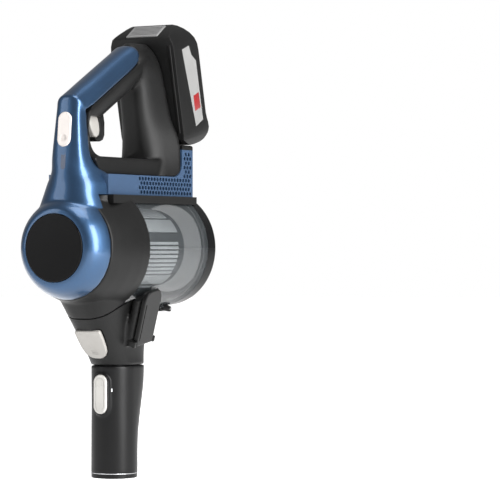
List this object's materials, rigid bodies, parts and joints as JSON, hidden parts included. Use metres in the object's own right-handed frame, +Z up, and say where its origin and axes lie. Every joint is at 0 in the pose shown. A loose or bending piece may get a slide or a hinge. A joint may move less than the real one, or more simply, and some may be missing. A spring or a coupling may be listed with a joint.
{
  "type": "cordless stick vacuum",
  "caption": "Cordless stick vacuum hand unit with loop handle, clear dust bin, slide-on battery pack and the top sleeve of its wand.",
  "frame": {"origin": "centre of the wand socket's mouth at the sleeve's lower end", "axes": "+Z up the wand, -Y the front where the round badge faces, +Y the rear where the bin's lid faces, +X the side with the paddle"},
  "size_m": [0.124, 0.2282, 0.4581],
  "materials": {
    "blue_shell": "metallic lacquer",
    "blue_grille": "satin",
    "black_satin": "satin",
    "black_gloss": "polished",
    "sleeve_black": "satin",
    "silver_key": "painted silver grey",
    "warm_white": "polished",
    "window_dark": "translucent dark lens",
    "smoke_clear": "clear smoky plastic",
    "filter_grey": "dark grey",
    "filter_paper": "pleated paper",
    "seal_rubber": "matt",
    "foam": "foam",
    "steel": "bright",
    "alloy": "machined",
    "brass_pin": "plated",
    "label_silver": "printed label",
    "key_grey": "ribbed grey"
  },
  "bodies": {
    "sleeve": {"sleeve_tube": "sleeve_black", "sleeve_end_ring": "sleeve_black", "sleeve_contacts": "brass_pin", "sleeve_button_spring": "steel"},
    "sleeve_button": {"sleeve_button": "silver_key"},
    "hand_unit": {"inlet_neck": "black_satin", "inlet_seal": "seal_rubber", "bin_release_spring": "steel", "latch_pin": "steel", "latch_spring": "steel", "front_shell": "blue_shell", "front_badge": "black_gloss", "rear_housing": "black_satin", "exhaust_shroud": "blue_grille", "riser_cap": "black_satin", "handle_core": "black_satin", "trigger_pin": "steel", "trigger_spring": "steel", "rocker_pin": "steel", "rocker_bracket": "black_satin", "level_window": "window_dark", "motor_can": "steel", "front_bearing": "steel", "bearing_bridge": "black_satin", "rear_bearing": "steel", "motor_stator": "steel", "fan_shroud": "black_satin", "motor_mount": "seal_rubber", "exhaust_filter": "foam", "battery_foot": "black_satin", "foot_terminals": "brass_pin", "shelf_rail_right": "black_satin", "shelf_rail_left": "black_satin"},
    "release_button": {"bin_release_button": "silver_key"},
    "side_paddle": {"latch_paddle": "black_satin"},
    "trigger": {"trigger": "silver_key", "trigger_pad": "black_satin"},
    "mode_rocker": {"mode_rocker": "warm_white"},
    "rotor": {"motor_shaft": "steel", "rotor_magnet": "steel", "impeller": "alloy"},
    "dust_bin": {"bin_cup": "smoke_clear", "bin_bulkhead": "filter_grey", "lid_hinge_pin": "steel"},
    "lid": {"bin_lid": "black_satin", "lid_seal": "seal_rubber", "lid_window": "smoke_clear", "catch_spring": "steel"},
    "lid_catch": {"lid_catch": "black_satin"},
    "filter_cartridge": {"filter_cage": "filter_grey", "filter_pleats": "filter_paper", "filter_end_cap": "filter_grey", "filter_seal": "seal_rubber"},
    "battery_pack": {"pack_case": "black_satin", "pack_terminals": "brass_pin", "pack_cells": "alloy", "pack_label_right": "label_silver", "pack_label_left": "label_silver", "pack_button_spring": "steel"},
    "pack_button": {"pack_button": "key_grey"}
  },
  "joints": [
    {"name": "unit_lift", "type": "slide", "parent": "sleeve", "child": "hand_unit", "axis": [0, 0, 1], "range_m": [0, 0.045]},
    {"name": "sleeve_button_press", "type": "slide", "parent": "sleeve", "child": "sleeve_button", "axis": [0, 1, 0], "range_m": [0, 0.0016], "stiffness_N_per_m": 800, "springref_m": -0.001, "deforming": ["sleeve_button_spring"]},
    {"name": "bin_release_press", "type": "slide", "parent": "hand_unit", "child": "release_button", "axis": [0, 0.7984, 0.6022], "range_m": [0, 0.0025], "stiffness_N_per_m": 800, "springref_m": -0.001, "deforming": ["bin_release_spring"]},
    {"name": "side_paddle_swing", "type": "hinge", "parent": "hand_unit", "child": "side_paddle", "pos_m": [0.03307, 0.00166, 0.13616], "axis": [0, 0.9877, 0.1564], "range_deg": [0, 15], "stiffness_Nm_per_rad": 0.2, "springref_deg": -5.73, "deforming": ["latch_spring"]},
    {"name": "trigger_pull", "type": "hinge", "parent": "hand_unit", "child": "trigger", "pos_m": [0, -0.05, 0.367], "axis": [1, 0, 0], "range_deg": [0, 8], "stiffness_Nm_per_rad": 0.3, "springref_deg": -5.73, "deforming": ["trigger_spring"]},
    {"name": "mode_rock", "type": "hinge", "parent": "hand_unit", "child": "mode_rocker", "pos_m": [0, -0.08403, 0.34363], "axis": [1, 0, 0], "range_deg": [-3, 3], "stiffness_Nm_per_rad": 0.1},
    {"name": "rotor_spin", "type": "hinge", "parent": "hand_unit", "child": "rotor", "pos_m": [0, -0.07, 0.229], "axis": [0, 1, 0], "continuous": true},
    {"name": "bin_slide", "type": "slide", "parent": "hand_unit", "child": "dust_bin", "axis": [0, 1, 0], "range_m": [0, 0.14]},
    {"name": "lid_swing", "type": "hinge", "parent": "dust_bin", "child": "lid", "pos_m": [0, 0.0904, 0.1664], "axis": [-1, 0, 0], "range_deg": [0, 110]},
    {"name": "lid_catch_press", "type": "slide", "parent": "lid", "child": "lid_catch", "axis": [0, 0, 1], "range_m": [0, 0.002], "stiffness_N_per_m": 300, "springref_m": -0.001, "deforming": ["catch_spring"]},
    {"name": "filter_twist", "type": "hinge", "parent": "dust_bin", "child": "filter_cartridge", "pos_m": [0, 0, 0.229], "axis": [0, 1, 0], "range_deg": [0, 60]},
    {"name": "pack_lift", "type": "slide", "parent": "hand_unit", "child": "battery_pack", "axis": [0, -0.225, 0.9744], "range_m": [0, 0.09]},
    {"name": "pack_button_press", "type": "slide", "parent": "battery_pack", "child": "pack_button", "axis": [0, 0.225, -0.9744], "range_m": [0, 0.002], "stiffness_N_per_m": 1000, "springref_m": -0.001, "deforming": ["pack_button_spring"]}
  ]
}
